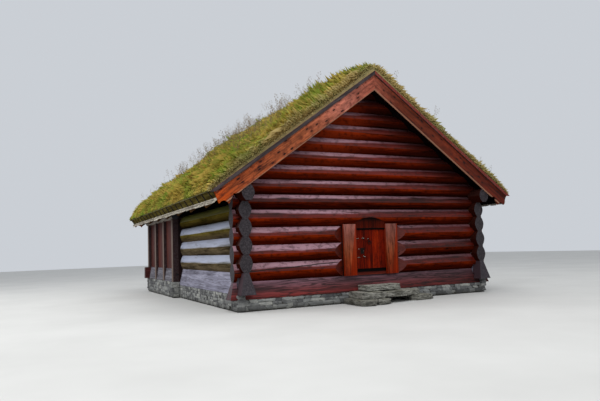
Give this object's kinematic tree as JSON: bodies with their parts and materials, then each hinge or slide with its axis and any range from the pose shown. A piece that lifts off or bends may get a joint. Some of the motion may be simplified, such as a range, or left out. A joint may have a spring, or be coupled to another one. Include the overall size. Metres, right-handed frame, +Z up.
{
  "type": "turf roofed log house",
  "caption": "Timber house with notched log walls in front, post-and-plank walls behind, a turf roof on birch bark, a rubble foundation and a hinged gable door.",
  "frame": {"origin": "on the ground, under the middle of the outline seen from above", "axes": "+Z up, -Y out of the front gable with the door, +X to the right of someone who faces that gable; the ridge runs along Y"},
  "size_m": [10.102, 12.8604, 7.0057],
  "materials": {
    "rubble": "rough fieldstone laid dry",
    "slab_stone": "split stone, worn",
    "inner_wood": "sawn pine",
    "sill_wood": "grey weathered pine",
    "front_log_wood": "tarred pine, satin",
    "side_log_wood": "tarred pine gone grey",
    "stave_wood": "tarred pine, dull",
    "door_wood": "tarred pine planks",
    "soffit_wood": "tarred roof boards",
    "birch_bark": "peeling outer bark",
    "eaves_wood": "grey board with moss",
    "barge_wood": "tarred knotty pine",
    "capping_wood": "grey weathered board",
    "turf": "grown grass and roots",
    "iron": "forged, rust-dark"
  },
  "bodies": {
    "house": {"plinth_front": "rubble", "plinth_sides": "rubble", "plinth_back": "rubble", "step_top_slab": "slab_stone", "step_middle_slabs": "slab_stone", "step_base_stones": "slab_stone", "floor_joists": "inner_wood", "floor_boards": "inner_wood", "front_sill": "sill_wood", "front_logs_odd": "front_log_wood", "front_logs_even": "front_log_wood", "side_sills": "sill_wood", "side_logs_odd": "side_log_wood", "side_logs_even": "side_log_wood", "wall_plates": "side_log_wood", "wall_end_posts": "stave_wood", "door_jamb_planks": "door_wood", "door_posts": "door_wood", "door_head_panel": "door_wood", "door_threshold": "door_wood", "door_pintles": "iron", "stave_posts": "stave_wood", "stave_sills": "sill_wood", "back_sill": "sill_wood", "stave_planks": "stave_wood", "stave_plates": "side_log_wood", "back_tie_beam": "stave_wood", "back_planks": "stave_wood", "rafters_left": "inner_wood", "rafters_right": "inner_wood", "roof_boards_left": "soffit_wood", "roof_boards_right": "soffit_wood", "birch_bark_left": "birch_bark", "birch_bark_right": "birch_bark", "eaves_boards": "eaves_wood", "turf_hooks": "iron", "turf_left": "turf", "turf_right": "turf", "bargeboards_left": "barge_wood", "bargeboards_right": "barge_wood", "capping_boards_left": "capping_wood", "capping_boards_right": "capping_wood"},
    "door": {"door_leaf": "door_wood", "door_ledges": "door_wood", "door_straps": "iron", "door_ironwork": "iron"}
  },
  "joints": [
    {"name": "door_hinge", "type": "hinge", "parent": "house", "child": "door", "pos_m": [0.52, -5.1149, 1.45], "axis": [0, 0, -1], "range_deg": [0, 90]}
  ]
}
